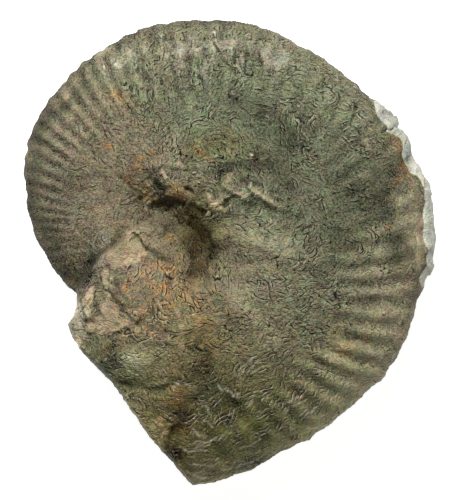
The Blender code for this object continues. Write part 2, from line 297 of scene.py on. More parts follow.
# Brown stains, and painted shade in and beside the navel pit
UMBER_AND_PAINTED_SHADE = (
    (138, 184, 10, 16, 0.25), (180, 203, 20, 8, 0.25, -15), (168, 226, 6, 6, 0.8),
    (197, 238, 12, 22, 0.95), (182, 222, 18, 14, 0.4), (190, 425, 26, 24, 0.3),
    (183, 416, 12, 7, 1.0, 67), (170, 455, 7, 7, 1.0), (200, 266, 11, 16, 0.8),
    (207, 362, 6, 24, 0.9, -10), (181, 424, 24, 8, 1.0, 67), (177, 450, 8, 8, 1.0),
    (75, 278, 16, 7, 0.5, -58), (296, 392, 12, 3, 0.9, 37), (225, 240, 10, 6, 0.5),
    (110, 205, 40, 40, 0.15), (118, 234, 12, 4, 0.6, 40),
)
# Dark stains, and painted shade: in the navel pit, in a band under the ledges and along the rim
DARK_AND_PAINTED_SHADE = (
    (275, 140, 34, 22, 0.5, -45), (252, 182, 10, 5, 1.0), (388, 206, 5, 30, 0.3), (212, 175, 18, 6, 0.7),
    (199, 187, 8, 5, 0.5), (227, 217, 12, 5, 0.6), (311, 244, 12, 7, 0.7, -20),
    (297, 147, 12, 9, 0.6, -30), (230, 398, 12, 7, 0.8, -20), (230, 415, 8, 5, 0.7),
    (205, 409, 9, 7, 0.8), (117, 359, 12, 6, 0.6, -45), (92, 259, 8, 5, 0.7, 45),
    (80, 281, 6, 6, 0.6, 45), (397, 251, 11, 17, 0.8), (72, 264, 8, 10, 0.3), (345, 185, 26, 34, 0.5),
    (159, 184, 4, 7, 0.7, 20), (198, 232, 7, 20, 0.5), (100, 370, 30, 8, 0.4, -50),
    (245, 430, 66, 36, 0.45, 15), (300, 235, 8, 40, 0.2, -10), (235, 104, 10, 6, 0.5),
    (270, 120, 32, 9, 0.8, -35), (306, 131, 14, 8, 0.7), (344, 131, 10, 14, 0.5),
    (284, 180, 24, 12, 0.75, -35), (374, 186, 18, 30, 0.65, -15), (340, 236, 20, 11, 0.6, -20),
    (235, 166, 34, 6, 0.8, -8), (250, 112, 40, 24, 0.25, -20), (225, 150, 14, 6, 0.3),
    (207, 380, 20, 30, 0.8), (108, 362, 36, 7, 0.7, -49), (84, 270, 9, 8, 0.6), (98, 338, 8, 4, 0.6),
    (214, 383, 8, 5, 0.8), (201, 449, 6, 5, 0.7), (395, 244, 8, 8, 0.7), (232, 209, 8, 4, 0.6),
    (214, 220, 4, 8, 0.6), (213, 256, 6, 6, 0.6), (175, 456, 8, 10, 0.8), (269, 460, 16, 7, 0.6, 20),
    (40, 160, 10, 60, 0.6, -8), (50, 235, 8, 40, 0.7, 25), (230, 20, 70, 4, 0.5),
    (60, 110, 40, 6, 0.7, 45), (300, 445, 60, 8, 0.5, 32), (105, 372, 30, 7, 0.7, -50),
    (60, 200, 14, 40, 0.3), (250, 462, 20, 8, 0.8, 20), (119, 280, 4, 12, 0.5),
)
# Lighter tone: partly the stone's own, and partly painted light
PAINTED_LIGHT_AND_LIGHTER = (
    (301, 50, 9, 5, 0.8, -40), (105, 51, 9, 6, 2.5, 40), (223, 60, 8, 7, 0.8), (125, 64, 26, 12, 0.5, 35),
    (331, 70, 12, 6, 0.6, -45), (312, 72, 18, 10, 0.5, -40), (64, 92, 18, 9, 0.4, 50),
    (112, 108, 28, 16, 0.45, 45), (268, 125, 9, 7, 0.8), (371, 140, 9, 8, 0.7), (399, 149, 6, 8, 0.8),
    (29, 152, 4, 7, 1.4), (268, 153, 7, 6, 0.7), (230, 161, 9, 5, 0.7), (98, 165, 16, 6, 0.5, -20),
    (171, 169, 9, 5, 0.8), (152, 172, 10, 8, 0.6, -30), (144, 180, 6, 6, 0.8), (362, 181, 7, 7, 0.7),
    (250, 196, 18, 6, 0.7, -20), (322, 196, 8, 7, 0.8), (231, 197, 9, 5, 0.7), (115, 200, 26, 20, 0.3),
    (218, 200, 14, 5, 0.8, -25), (216, 205, 9, 5, 1.0, -35), (199, 208, 8, 5, 1.1),
    (397, 208, 8, 30, 0.6, -5), (214, 211, 8, 5, 0.7), (391, 211, 7, 7, 0.7),
    (105, 215, 26, 16, 0.5, -50), (411, 215, 8, 60, 1.0, -5), (372, 227, 8, 7, 0.8),
    (147, 230, 8, 7, 1.1), (137, 232, 14, 8, 0.6), (42, 234, 6, 9, 0.8, 20), (410, 236, 7, 10, 0.6),
    (252, 238, 30, 8, 0.8, -10), (300, 243, 26, 6, 0.8, -15), (153, 244, 10, 10, 0.7),
    (370, 251, 8, 6, 0.8), (277, 252, 9, 6, 0.8), (280, 254, 16, 8, 0.5, -20), (292, 260, 8, 6, 0.7),
    (265, 262, 40, 22, 0.3), (139, 264, 10, 9, 0.8), (372, 264, 20, 6, 0.5), (408, 264, 7, 6, 0.7),
    (150, 272, 20, 16, 0.4), (374, 272, 11, 7, 1.3), (117, 275, 8, 8, 1.4), (178, 285, 14, 10, 0.7),
    (133, 287, 10, 7, 0.7), (242, 291, 12, 12, 0.9), (96, 294, 7, 7, 0.9), (385, 300, 28, 44, 0.7),
    (96, 302, 9, 10, 1.5), (79, 312, 8, 10, 2.6), (250, 312, 48, 10, 0.8, -49), (150, 313, 8, 6, 0.7),
    (186, 314, 30, 26, 0.9), (225, 318, 34, 22, 0.3), (136, 319, 11, 8, 1.9), (201, 324, 9, 12, 0.6),
    (82, 331, 8, 6, 1.5), (81, 343, 8, 9, 1.6), (182, 344, 6, 6, 0.8), (362, 348, 95, 24, 0.3, 60),
    (333, 351, 8, 6, 2.0, 30), (134, 356, 13, 10, 0.8), (350, 362, 54, 26, 0.95, 42),
    (160, 370, 30, 14, 0.4), (121, 384, 9, 7, 0.8, -45), (126, 398, 9, 7, 1.6, 50), (187, 399, 7, 6, 0.9),
    (336, 402, 14, 7, 1.2, 40), (136, 411, 7, 7, 0.8), (160, 420, 14, 24, 0.6, 20), (248, 421, 8, 6, 2.0),
    (227, 431, 8, 5, 1.9), (307, 431, 18, 9, 2.0, 33), (181, 437, 8, 7, 1.3), (307, 437, 10, 5, 0.7, 30),
    (167, 438, 7, 8, 0.9), (273, 448, 13, 6, 2.2, 25), (241, 454, 9, 5, 0.8), (225, 463, 9, 5, 1.4),
    (226, 463, 12, 5, 0.9, 10), (249, 467, 9, 5, 1.6, 15), (203, 476, 9, 5, 1.4, 10),
)
# Darker tone: partly the stone's own, and partly painted shade
SHADED = (
    (388, 114, 9, 7, 0.8), (190, 128, 28, 34, 0.2), (310, 138, 30, 12, 0.35, -10), (295, 151, 9, 7, 1.0),
    (405, 152, 12, 22, 0.4), (60, 155, 14, 22, 0.35), (154, 156, 11, 7, 0.6, 20), (256, 160, 9, 8, 0.9),
    (403, 163, 6, 9, 0.8), (226, 174, 10, 6, 1.6), (392, 175, 9, 13, 0.8), (78, 186, 9, 11, 0.8),
    (163, 194, 7, 6, 1.0), (276, 194, 11, 8, 0.6), (380, 208, 9, 10, 0.9), (51, 209, 12, 18, 0.3),
    (60, 215, 20, 50, 0.15, 10), (218, 220, 10, 7, 1.1), (197, 238, 10, 14, 0.6),
    (121, 240, 11, 6, 1.0, 35), (212, 254, 9, 8, 1.1), (95, 259, 9, 6, 1.3, 45),
    (93, 277, 14, 7, 1.4, 58), (319, 282, 9, 6, 0.7), (381, 296, 12, 9, 0.7), (139, 334, 9, 6, 1.5),
    (113, 345, 11, 5, 0.9), (358, 345, 8, 7, 0.8), (118, 356, 9, 6, 0.9, 40), (250, 365, 10, 9, 0.6),
    (163, 375, 9, 5, 1.2), (210, 385, 9, 24, 0.25), (233, 397, 8, 6, 1.2), (186, 414, 8, 7, 0.9),
    (231, 416, 8, 6, 0.9), (180, 450, 9, 7, 1.3), (169, 455, 7, 6, 0.7), (259, 460, 9, 6, 1.8, 20),
)
LILAC = (
    (275, 60, 16, 14, 1.0), (240, 66, 5, 14, 0.9), (226, 46, 20, 7, 0.9), (187, 52, 24, 8, 0.8),
    (207, 72, 5, 14, 0.8), (125, 60, 20, 9, 0.7, 35), (95, 280, 22, 5, 0.7, 60),
    (99, 256, 12, 7, 0.9, -45), (169, 228, 8, 11, 0.6), (345, 65, 10, 8, 0.5, -40),
    (60, 190, 20, 70, 0.35), (108, 240, 12, 5, 0.7, -45), (178, 68, 4, 16, 0.6), (79, 314, 8, 24, 1.0),
)
OLIVE = (
    (230, 425, 90, 62, 1.0, 10), (150, 385, 60, 40, 0.4, -40), (200, 345, 34, 50, 0.4),
    (198, 225, 26, 34, 0.7), (222, 150, 30, 16, 0.5),
)
PALE = (
    (128, 251, 20, 15, 1.2, 20), (112, 308, 12, 12, 0.8, 10), (108, 284, 5, 14, 0.7, 10),
    (162, 420, 12, 20, 0.5), (182, 165, 5, 4, 0.9), (216, 206, 9, 5, 1.0, -35), (100, 325, 14, 9, 0.9),
    (418, 246, 6, 34, 0.9), (392, 136, 7, 5, 0.8, -45), (79, 342, 5, 8, 0.9, -30), (113, 276, 6, 7, 0.8),
    (119, 324, 14, 6, 0.9, 15), (180, 310, 3, 3, 0.9), (182, 323, 4, 3, 0.9), (184, 341, 4, 3, 0.8),
    (90, 297, 5, 10, 0.9, -20), (65, 97, 4, 4, 0.7),
)
GREEN = (
    (270, 100, 100, 60, 0.9, -30), (200, 110, 36, 44, 0.8), (340, 200, 60, 80, 0.6),
    (250, 420, 70, 40, 0.8, 20), (130, 368, 40, 22, 0.8, -30), (220, 162, 34, 14, 1.0),
    (300, 300, 60, 50, 0.4), (130, 75, 50, 36, 0.5, 30), (350, 360, 70, 34, 0.4, 55),
    (258, 205, 40, 26, 0.8),
)

# Thin streaks: points along the streak in picture pixels, half width, share
PALE_STREAKS = (
    (((243, 183), (250, 191), (259, 196), (268, 202), (282, 208)), 1.4, 0.9),
    (((234, 176), (228, 183), (231, 190), (239, 196), (248, 197)), 1.3, 0.8),
    (((161, 166), (163, 173), (167, 178)), 1.6, 0.7), (((205, 195), (211, 199)), 2.0, 0.8),
    (((210, 199), (216, 206), (224, 210)), 2.6, 1.0),
    (((92, 312), (88, 301), (90, 292), (96, 288)), 3.0, 1.0),
    (((100, 332), (118, 328), (136, 320)), 3.4, 0.9),
    (((102, 262), (117, 243), (136, 230), (147, 246)), 1.5, 0.7), (((170, 420), (160, 436)), 1.8, 0.5),
)
# Bright strokes of the lines, partly their own pale colour and partly painted highlight, with painted glints
# and highlights on the knobs
BRIGHT_STROKES_AND_GLINTS = (
    (((194, 439), (210, 439), (226, 435)), 1.1, 1.0), (((193, 446), (202, 442), (210, 441)), 1.0, 0.8),
    (((185, 448), (204, 447)), 1.1, 0.9), (((193, 459), (207, 464), (221, 461)), 1.2, 1.0),
    (((203, 456), (216, 457)), 0.9, 0.7), (((188, 470), (196, 475), (204, 478)), 1.5, 1.0),
    (((194, 473), (203, 471), (211, 472)), 1.1, 0.9), (((219, 384), (230, 391), (240, 390)), 1.1, 1.0),
    (((232, 372), (241, 377)), 1.0, 0.8), (((226, 387), (238, 395)), 1.0, 0.8),
    (((241, 369), (250, 363), (260, 358)), 1.1, 0.9), (((240, 365), (248, 358), (255, 353)), 0.9, 0.8),
    (((246, 371), (255, 366), (263, 362)), 0.9, 0.7), (((280, 404), (291, 398), (304, 389)), 1.2, 0.9),
    (((283, 408), (294, 402), (304, 396)), 1.0, 0.8), (((301, 412), (309, 410), (317, 405)), 1.2, 1.0),
    (((304, 417), (312, 415), (320, 412)), 1.0, 0.8), (((288, 425), (294, 428), (301, 433)), 1.2, 0.8),
    (((307, 428), (316, 427), (325, 423)), 1.4, 0.9), (((230, 412), (235, 406)), 1.0, 0.8),
    (((194, 425), (199, 430), (205, 433)), 1.4, 0.8), (((204, 417), (209, 420), (213, 426)), 1.2, 0.8),
    (((262, 398), (270, 392)), 1.0, 0.7), (((246, 404), (252, 398), (254, 390)), 1.0, 0.7),
    (((224, 420), (232, 424), (238, 430)), 1.0, 0.7), (((240, 446), (250, 442), (258, 436)), 1.1, 0.7),
    (((236, 468), (250, 462), (262, 455)), 1.2, 0.8), (((272, 430), (280, 425), (286, 418)), 1.0, 0.7),
    (((222, 470), (232, 466), (240, 459)), 1.1, 0.8), (((328, 398), (338, 392), (345, 384)), 1.2, 0.6),
    # Painted highlights on the knobs, and painted glints
    (((163, 37), (163, 39)), 1.4, 1.9), (((213, 36), (214, 38)), 1.4, 1.9),
    (((104, 68), (105, 70)), 1.1, 1.3), (((116, 65), (118, 66)), 1.1, 1.3),
    (((250, 154), (251, 155)), 1.0, 2.2), (((250, 184), (251, 186)), 1.2, 2.0),
    (((212, 201), (220, 208)), 1.6, 0.8), (((174, 384), (184, 381), (194, 382)), 1.1, 0.7),
    (((164, 379), (172, 377)), 1.0, 0.6), (((199, 400), (206, 404), (210, 411)), 1.0, 0.6),
    (((126, 350), (134, 356), (142, 366)), 1.6, 0.8), (((122, 358), (130, 364), (138, 374)), 1.2, 0.6),
    (((134, 350), (142, 356), (150, 360)), 1.2, 0.6),
)
# Lighter streaks, most along the crests of the ribs on the right: painted light
PAINTED_LIGHT_STREAKS = (
    (((232, 128), (252, 140), (268, 150)), 1.6, 0.4), (((345, 262), (372, 258), (404, 262)), 2.4, 0.6),
    (((350, 279), (376, 279), (408, 288)), 2.4, 0.6), (((348, 296), (374, 300), (404, 312)), 2.4, 0.6),
    (((342, 312), (366, 320), (398, 336)), 2.4, 0.6), (((330, 326), (352, 338), (386, 362)), 2.4, 0.6),
    (((316, 338), (338, 356), (370, 384)), 2.4, 0.6), (((300, 350), (322, 372), (350, 404)), 2.6, 0.5),
)
# Dark marks, and painted shade: shadow bands under the ledges and shade in the pit
DARK_AND_SHADE_STREAKS = (
    (((289, 101), (298, 113), (309, 123)), 1.1, 0.8), (((298, 108), (307, 120)), 1.0, 0.6),
    (((322, 80), (320, 90), (322, 103)), 1.2, 0.8), (((337, 96), (334, 111), (329, 122)), 1.3, 0.9),
    (((353, 106), (351, 118), (347, 128)), 1.5, 0.9), (((360, 128), (346, 137), (341, 146)), 1.3, 0.9),
    (((329, 123), (327, 132)), 1.0, 0.7), (((341, 148), (329, 163), (318, 169)), 1.2, 0.8),
    (((298, 118), (305, 127), (312, 137)), 1.5, 0.9), (((293, 128), (302, 131), (310, 136)), 1.3, 0.8),
    (((288, 83), (293, 88), (299, 90)), 1.3, 0.7), (((272, 70), (273, 78)), 1.0, 0.6),
    (((241, 62), (243, 74), (248, 79)), 1.0, 0.8), (((370, 140), (372, 147)), 1.2, 0.6),
    (((312, 103), (316, 112)), 1.0, 0.6), (((279, 98), (284, 104)), 1.2, 0.6),
    (((198, 473), (218, 466), (236, 455)), 1.3, 0.7), (((192, 462), (208, 458), (226, 449)), 1.3, 0.7),
    (((206, 449), (222, 442), (238, 431)), 1.3, 0.6), (((240, 473), (256, 465), (272, 452)), 1.3, 0.6),
    # Painted shadow under the ledges
    (((214, 174), (222, 173), (230, 172)), 4.0, 0.7), (((252, 166), (262, 167), (272, 172)), 4.0, 0.8),
    (((312, 240), (322, 244), (332, 248)), 4.0, 0.5),
    (((135, 233), (147, 247), (158, 254), (173, 261)), 2.2, 0.75),
    (((77, 289), (84, 277), (95, 263), (104, 253), (118, 243)), 3.0, 0.6),
    (((109, 335), (130, 340), (160, 342), (203, 349)), 1.5, 0.7),
    (((129, 385), (160, 384), (192, 380)), 1.5, 0.7), (((206, 172), (235, 167), (262, 171)), 2.6, 0.8),
    (((146, 170), (151, 174), (158, 172)), 2.2, 0.7), (((157, 180), (160, 187), (166, 191)), 3.2, 1.0),
    (((142, 204), (160, 206), (178, 205)), 2.6, 0.6),
    (((201, 208), (209, 220), (213, 238), (216, 252)), 3.0, 0.8),
    (((131, 183), (136, 190), (142, 194), (141, 201)), 1.8, 0.8),
    (((257, 150), (266, 160), (275, 170)), 1.7, 0.9), (((252, 154), (259, 164), (268, 175)), 1.7, 0.9),
    (((264, 151), (272, 160), (278, 168)), 1.5, 0.8),
    (((226, 166), (238, 168), (245, 165), (249, 161)), 1.8, 0.7),
    (((225, 191), (235, 198), (241, 201)), 1.6, 0.8), (((214, 190), (216, 195)), 3.0, 0.8),
    (((244, 203), (254, 206)), 3.0, 0.7), (((207, 345), (211, 362), (204, 381)), 2.4, 0.8),
    (((106, 268), (105, 284), (117, 300), (132, 314)), 1.4, 0.7),
    (((111, 264), (112, 278), (123, 293), (134, 302)), 1.2, 0.6),
    (((98, 290), (98, 304), (106, 318)), 1.3, 0.6), (((106, 336), (123, 331), (139, 323)), 1.8, 0.8),
    (((240, 182), (246, 189), (254, 200), (264, 205), (273, 210)), 1.8, 0.9),
    (((222, 214), (240, 214), (262, 217)), 1.5, 0.4), (((243, 181), (252, 184), (260, 186)), 2.6, 0.9),
    (((214, 45), (222, 58), (232, 72)), 1.5, 0.7), (((232, 70), (235, 60), (234, 50)), 1.5, 0.7),
    (((244, 78), (247, 64), (246, 52)), 1.5, 0.7), (((260, 82), (262, 68), (258, 54)), 1.5, 0.7),
    (((170, 64), (178, 88), (184, 108)), 1.8, 0.5), (((188, 62), (193, 82), (197, 102)), 1.8, 0.5),
    (((196, 60), (204, 84), (207, 104)), 1.5, 0.4),
    (((343, 326), (349, 323), (355, 328), (354, 336), (347, 338), (342, 332), (343, 326)), 1.5, 0.7),
)
RUST_STREAKS = (
    (((133, 187), (130, 177), (137, 166), (146, 158), (156, 156)), 2.2, 0.8),
    (((148, 192), (155, 200)), 5.0, 0.6), (((170, 190), (182, 198)), 5.0, 0.6),
    (((196, 152), (206, 158), (216, 164)), 4.0, 0.45), (((395, 184), (402, 165), (409, 146)), 3.0, 0.9),
    (((285, 385), (305, 398)), 1.5, 0.9), (((163, 237), (170, 241), (174, 236)), 1.5, 0.9),
)

# How ragged or bent the forms are: layers of noise for x and y, distance moved, size, level of the noise
SPOT_RAGGED = (((0, 2), 0.7, 2.6, 7.7), ((1, 3), 0.6, 1.1, 5.5))
STREAK_RAGGED = (((0, 2), 0.5, 1.7, 3.1),)
FLANK_BENT = (((0, 2), 0.9, 6.0, 0.0), ((1, 3), 0.45, 2.2, 0.0))
RIBS_BENT = (((4, 5), 0.2, 2.6, 0.0),)

# Noise in other values: layer of noise, amount, size
RIB_NOISE = ((6, 0.35, 5.0),)
HEADING_NOISE = ((4, 0.4, 7.0),)
CRUST_NOISE = ((6, 0.4, 2.0),)
FRILL_NOISE = ((10, 1.0, 5.0),)
GROUND_NOISE = ((11, 0.30, 9.0), (12, 0.16, 3.5), (13, 0.12, 1.5))
LAYER_NOISE = ((8, 4.0, 8.0), (9, 1.2, 2.4))

# Streaks end at the first share of their half width, and are whole up to the second
STREAK_EDGE = (1.3, 0.6)

# How a combed direction's weight falls: what is added to the square of the distance, and the sum's power
COMB_REACH = 4.0
COMB_POWER = -1.5

# Ovals pass from the hidden flank's places to the upper flank's between these heights over the middle
# plane, and the hidden flank's tone stays this close to plain
FLANK_CHANGE = (-6.0, 0.0)
HIDDEN_TONE = 0.7

# Relief in millimetres: lobes of the suture lines, pale chips, flaked layers. Facets of the rock's cells,
# large and small: size, shift of their lattice, and height on plain, craggy and crusted ground
FRILL_HEIGHT = 0.08
PALE_HEIGHT = 0.15
FLAKE_HEIGHT = 0.65
FLAKE_EDGE = 0.22
FLAKE_LEVEL = 0.4
FACETS = ((4.6, (0.0, 0.0, 0.0), (0.15, 2.2, 0.35)), (1.9, (20.0, 0.0, 0.0), (0.10, 0.95, 0.12)))

# Where the frilled lines show: their share, what lilac ground, pale chips and crags take from it, and how
# softly they fade
FRILL_SHARE = 0.75
FRILL_LESS = {"lilac": 1.4, "pale": 2.0, "crag": 0.3}
FRILL_EDGE = 0.6

# Masks begin at the first share and are whole at the second; the crust is whole this far from its border
LILAC_EDGE = (0.35, 0.7)
PALE_EDGE = (0.4, 0.55)
CRUST_EDGE = -0.7

# The fern-shaped cells: shift of their lattice, how far a stem turns, the stem's width, and where in the
# ferns' width the leaflets are whole
FERN_SHIFT = 7.0
FERN_TURN = 0.5
STEM_WIDTH = 0.25
LEAFLET_FULL = 0.3


def smooth(low, high, value):
    """0 below low, 1 above high, and an even curve between."""
    part = np.clip((value - low) / (high - low), 0.0, 1.0)
    return part * part * (3.0 - 2.0 * part)


def knots(table, value):
    """The value of a table of (place, amount) pairs, joined by even curves."""
    places, amounts = np.array(table, dtype=float).T
    index = np.clip(np.searchsorted(places, value) - 1, 0, len(places) - 2)
    part = smooth(0.0, 1.0, (value - places[index]) / (places[index + 1] - places[index]))
    return amounts[index] + part * (amounts[index + 1] - amounts[index])


def straight(table, value):
    """The value of a table of (place, amount) pairs, joined by straight lines."""
    places, amounts = np.array(table, dtype=float).T
    return np.interp(value, places, amounts)


def whole_edge(angle):
    """Outer edge of the unbroken whorl: the spiral with its swells."""
    return SPIRAL_RADIUS * WHORL_GROWTH ** ((angle - SPIRAL_ANGLE) / 360.0) + knots(SWELLS, angle)


def edge(angle):
    """Outline of the fossil, broken end included."""
    return np.where(angle < BREAK[0][0], whole_edge(angle), straight(BREAK, angle))


def turned(angle, first):
    """The same direction as angle, in the turn that begins at first."""
    return np.mod(angle - first, 360.0) + first


def placed(column, row):
    """Where a picture pixel lies in plan, in millimetres."""
    return (column - MIDDLE_COLUMN) * PIXEL, (MIDDLE_ROW - row) * PIXEL


def across_line(x, y, points):
    """Distance of each (x, y) from a line through the points, above zero on the right of its run."""
    nearest = np.full(x.shape, np.inf)
    signed = np.zeros_like(x)
    for (ax, ay), (bx, by) in zip(points, points[1:]):
        run_x, run_y = bx - ax, by - ay
        part = np.clip(((x - ax) * run_x + (y - ay) * run_y) / (run_x ** 2 + run_y ** 2), 0.0, 1.0)
        distance = np.hypot(x - ax - part * run_x, y - ay - part * run_y)
        side = np.where((x - ax) * run_y < (y - ay) * run_x, -1.0, 1.0)
        signed = np.where(distance < nearest, side * distance, signed)
        nearest = np.minimum(nearest, distance)
    return signed


def from_line(x, y, points):
    """Distance of each (x, y) from a line through the points."""
    return np.abs(across_line(x, y, points))


def bell(distance, width):
    """1 at no distance, falling evenly to 0 past the width."""
    return np.exp(-((distance / width) ** 2))


def oval(x, y, middle_x, middle_y, length, width, turn):
    """1 in the middle of an oval, falling evenly to 0 around it."""
    cos, sin = np.cos(np.radians(turn)), np.sin(np.radians(turn))
    across, up = x - middle_x, y - middle_y
    return bell(across * cos + up * sin, length) * bell(up * cos - across * sin, width)


class Noise:
    """Even noise from -1 to 1 in three dimensions, from lattices of fixed random numbers."""

    def __init__(self, seed, layers):
        draw = np.random.default_rng(seed)
        self.layers = draw.random((layers, LATTICE, LATTICE, LATTICE)) * 2.0 - 1.0

    def __call__(self, layer, x, y, z):
        x, y, z = np.broadcast_arrays(x, y, z)
        cells = [np.floor(value).astype(int) for value in (x, y, z)]
        parts = [value - cell for value, cell in zip((x, y, z), cells)]
        parts = [p * p * p * (p * (p * 6.0 - 15.0) + 10.0) for p in parts]
        total = 0.0
        for steps in np.ndindex(2, 2, 2):
            weight = 1.0
            for part, step in zip(parts, steps):
                weight = weight * (part if step else 1.0 - part)
            index = tuple((cell + step) % LATTICE for cell, step in zip(cells, steps))
            total = total + weight * self.layers[layer][index]
        return total

    def bend(self, x, y, waves):
        """The places, moved sideways by each wave's noise."""
        bent_x, bent_y = x, y
        for (layer_x, layer_y), amount, size, level in waves:
            bent_x = bent_x + amount * self(layer_x, x / size, y / size, level)
            bent_y = bent_y + amount * self(layer_y, x / size, y / size, level)
        return bent_x, bent_y

    def add_up(self, x, y, z, waves):
        """The sum of the waves' noise at each place."""
        return sum(amount * self(layer, x / size, y / size, z / size) for layer, amount, size in waves)


class Cells:
    """Space cut into cells around scattered points, from lattices of fixed random numbers."""

    def __init__(self, seed):
        draw = np.random.default_rng(seed)
        self.points = draw.random((LATTICE, LATTICE, LATTICE, 3))
        self.tilts = draw.random((LATTICE, LATTICE, LATTICE, 3)) * 2.0 - 1.0

    def nearest(self, places, measure):
        """What measure finds for each place in the nearest cell; it gives that and the cell's distance."""
        cells = np.floor(places).astype(int)
        least = np.full(len(places), np.inf)
        found = 0.0
        for steps in np.ndindex(3, 3, 3):
            corner = cells + np.array(steps) - 1
            index = tuple((corner % LATTICE).T)
            values, distance = measure(places - corner - self.points[index], self.tilts[index])
            found = np.where(distance < least, values, found)
            least = np.minimum(least, distance)
        return found

    def facets(self, places):
        """Height of each place on its cell's tilted facet."""
        def on_facet(away, tilt):
            return (away * tilt).sum(axis=1), np.linalg.norm(away, axis=1)
        return self.nearest(places, on_facet)

    def ferns(self, points, comb, beside):
        """For each point, the way along its fern's stem, the way to its side, and the fern's own number."""
        def on_fern(away, chance):
            turn = FERN_TURN * chance[:, 0] + np.pi * (chance[:, 1] > 0.0)
            away = away * FERN_SIZE
            run, reach = (away * comb).sum(axis=1), (away * beside).sum(axis=1)
            forth = run * np.cos(turn) + reach * np.sin(turn)
            side = reach * np.cos(turn) - run * np.sin(turn)
            distance = np.hypot(forth / FERN_LENGTH, side * FERN_LENGTH)
            return np.stack([forth, side, chance[:, 2]]), distance
        return self.nearest(points / FERN_SIZE + FERN_SHIFT, on_fern).T


NOISE = Noise(NOISE_SEED, NOISE_LAYERS)
CELLS = Cells(CELLS_SEED)


def spots(table, x, y):
    """For each oval of a table in turn, how far each point lies in it, with ragged edges."""
    x, y = NOISE.bend(x, y, SPOT_RAGGED)
    for column, row, length, width, share, *turns in table:
        turn = turns[0] if turns else 0.0
        yield share * oval(x, y, *placed(column, row), length * PIXEL, width * PIXEL, turn)


def patches(table, x, y):
    """How far each point lies in the ovals of a table, from 0 to 1."""
    outside = np.ones_like(x)
    for spot in spots(table, x, y):
        outside *= 1.0 - spot
    return 1.0 - outside


def tones(table, x, y):
    """The sum of a table's ovals at each point, which may be more than 1."""
    return sum(spots(table, x, y))


def zone(table, x, y, z, found=patches):
    """The ovals of a table as the picture shows them above, and laid out the other way round below."""
    above = smooth(*FLANK_CHANGE, z - MIDDLE)
    return found(table, x, y) * above + found(table, -y, -x) * (1.0 - above)


def streaks(table, x, y, side):
    """How far each point of the upper flank lies on the streaks of a table, a little ragged."""
    x, y = NOISE.bend(x, y, STREAK_RAGGED)
    most = np.zeros_like(x)
    for pixels, width, share in table:
        distance = from_line(x, y, [placed(*pixel) for pixel in pixels]) / (width * PIXEL)
        most = np.maximum(most, share * smooth(*STREAK_EDGE, distance))
    return most * (side > 0.0)


def combed(x, y):
    """Direction in which the lines run at each point, in radians from +X towards +Y."""
    weights = np.zeros_like(x)
    turns = np.zeros_like(x)
    for column, row, direction in COMBED:
        middle_x, middle_y = placed(column, row)
        weight = ((x - middle_x) ** 2 + (y - middle_y) ** 2 + COMB_REACH) ** COMB_POWER
        weights += weight
        turns += weight * np.radians(direction)
    return turns / weights


def whorl(flank, radius, turn):
    """Height of a flank over the middle plane, at this turn of the growing whorl."""
    grown = WHORL_GROWTH ** (flank["growth"] * (turn - BREADTH_ANGLE) / 360.0)
    left = 1.0 - (1.0 - flank["worn"]) * smooth(*WEAR, turn)
    breadth = flank["breadth"] * grown * left
    breadth = CORE_BREADTH + (breadth - CORE_BREADTH) * smooth(0.0, CORE_RADIUS, radius)
    outward = np.clip(radius / whole_edge(turn), 0.0, 1.0)
    rounded = (1.0 - outward ** SECTION_FULLNESS) ** SECTION_ROUNDING
    face = np.clip((straight(BREAK, turn) - radius) / flank["slope"], 0.0, 1.0) ** BREAK_ROUNDING
    broken = smooth(*BREAK_START, turn)
    return breadth * rounded * (1.0 + (face - 1.0) * broken)


def coil(flank, radius, angle):
    """Height of a whole flank, with the step where the last whorl's broken end covers the older one."""
    border = STEP_ANGLE + (STEP_RADIUS - radius) * STEP_LEAN
    past = turned(angle - border, -180.0)
    older = whorl(flank, radius, border + past)
    newer = whorl(flank, radius, border + past + 360.0)
    stepped = older + (newer - older) * smooth(-STEP_WIDTH, STEP_WIDTH, -np.radians(past) * radius)
    return np.where(np.abs(past) < 90.0, stepped, whorl(flank, radius, turned(angle, border)))


def ribs(x, y, radius, angle):
    """Height of the ribs: above zero on a crest and below it in a groove."""
    turn = turned(np.degrees(np.arctan2(RIB_FOCUS[1] - y, x - RIB_FOCUS[0])), FIRST_ANGLE)
    outward = radius / whole_edge(angle)
    lean = knots(RIB_LEAN, turn) * (outward - RIB_MEASURED_AT)
    numbers, places = np.array(RIB_COUNT, dtype=float).T
    wave = np.cos(2.0 * np.pi * np.interp(turn + lean, places, numbers))
    node = 1.0 + NODE_SHARE * bell(outward - NODE_PLACE, NODE_WIDTH) * (wave > 0.0)
    fading = 1.0 + (knots(RIB_AT_RIM, turn) - 1.0) * smooth(*RIB_END, outward)
    begun = smooth(0.0, RIB_RISE, outward - knots(RIB_START, turn))
    return knots(RIB_HEIGHT, turn) * begun * fading * wave * node


def crust_at(angle):
    """Whether the crust is there, from 0 to 1."""
    return smooth(*CRUST_START, angle) * smooth(*CRUST_END, angle)


def upper(x, y, radius, angle):
    """Height of the upper flank over the middle plane, with its damage."""
    height = np.zeros_like(x)
    for middle_x, middle_y, length, width, turn, rise in LUMPS:
        height += rise * oval(x, y, middle_x, middle_y, length, width, turn)
    for points, width, rise in RIDGES:
        height += rise * bell(from_line(x, y, points), width)
    for pixels, rise, reach, sharp in LEDGES:
        beyond = across_line(x, y, [placed(*pixel) for pixel in pixels])
        height += rise * smooth(-sharp, sharp, beyond) * bell(np.maximum(beyond, 0.0), reach)
    pit = np.zeros_like(x)
    for points, width, depth in PIT:
        pit = np.maximum(pit, depth * bell(from_line(x, y, points), width))
    inward = edge(angle) - radius
    height -= CRUST_GROOVE * crust_at(angle) * bell(inward - knots(CRUST_WIDTH, angle), CRUST_GROOVE_WIDTH)
    return coil(UPPER, radius, angle) + (height - pit) * smooth(0.0, RIM_WIDTH, inward)


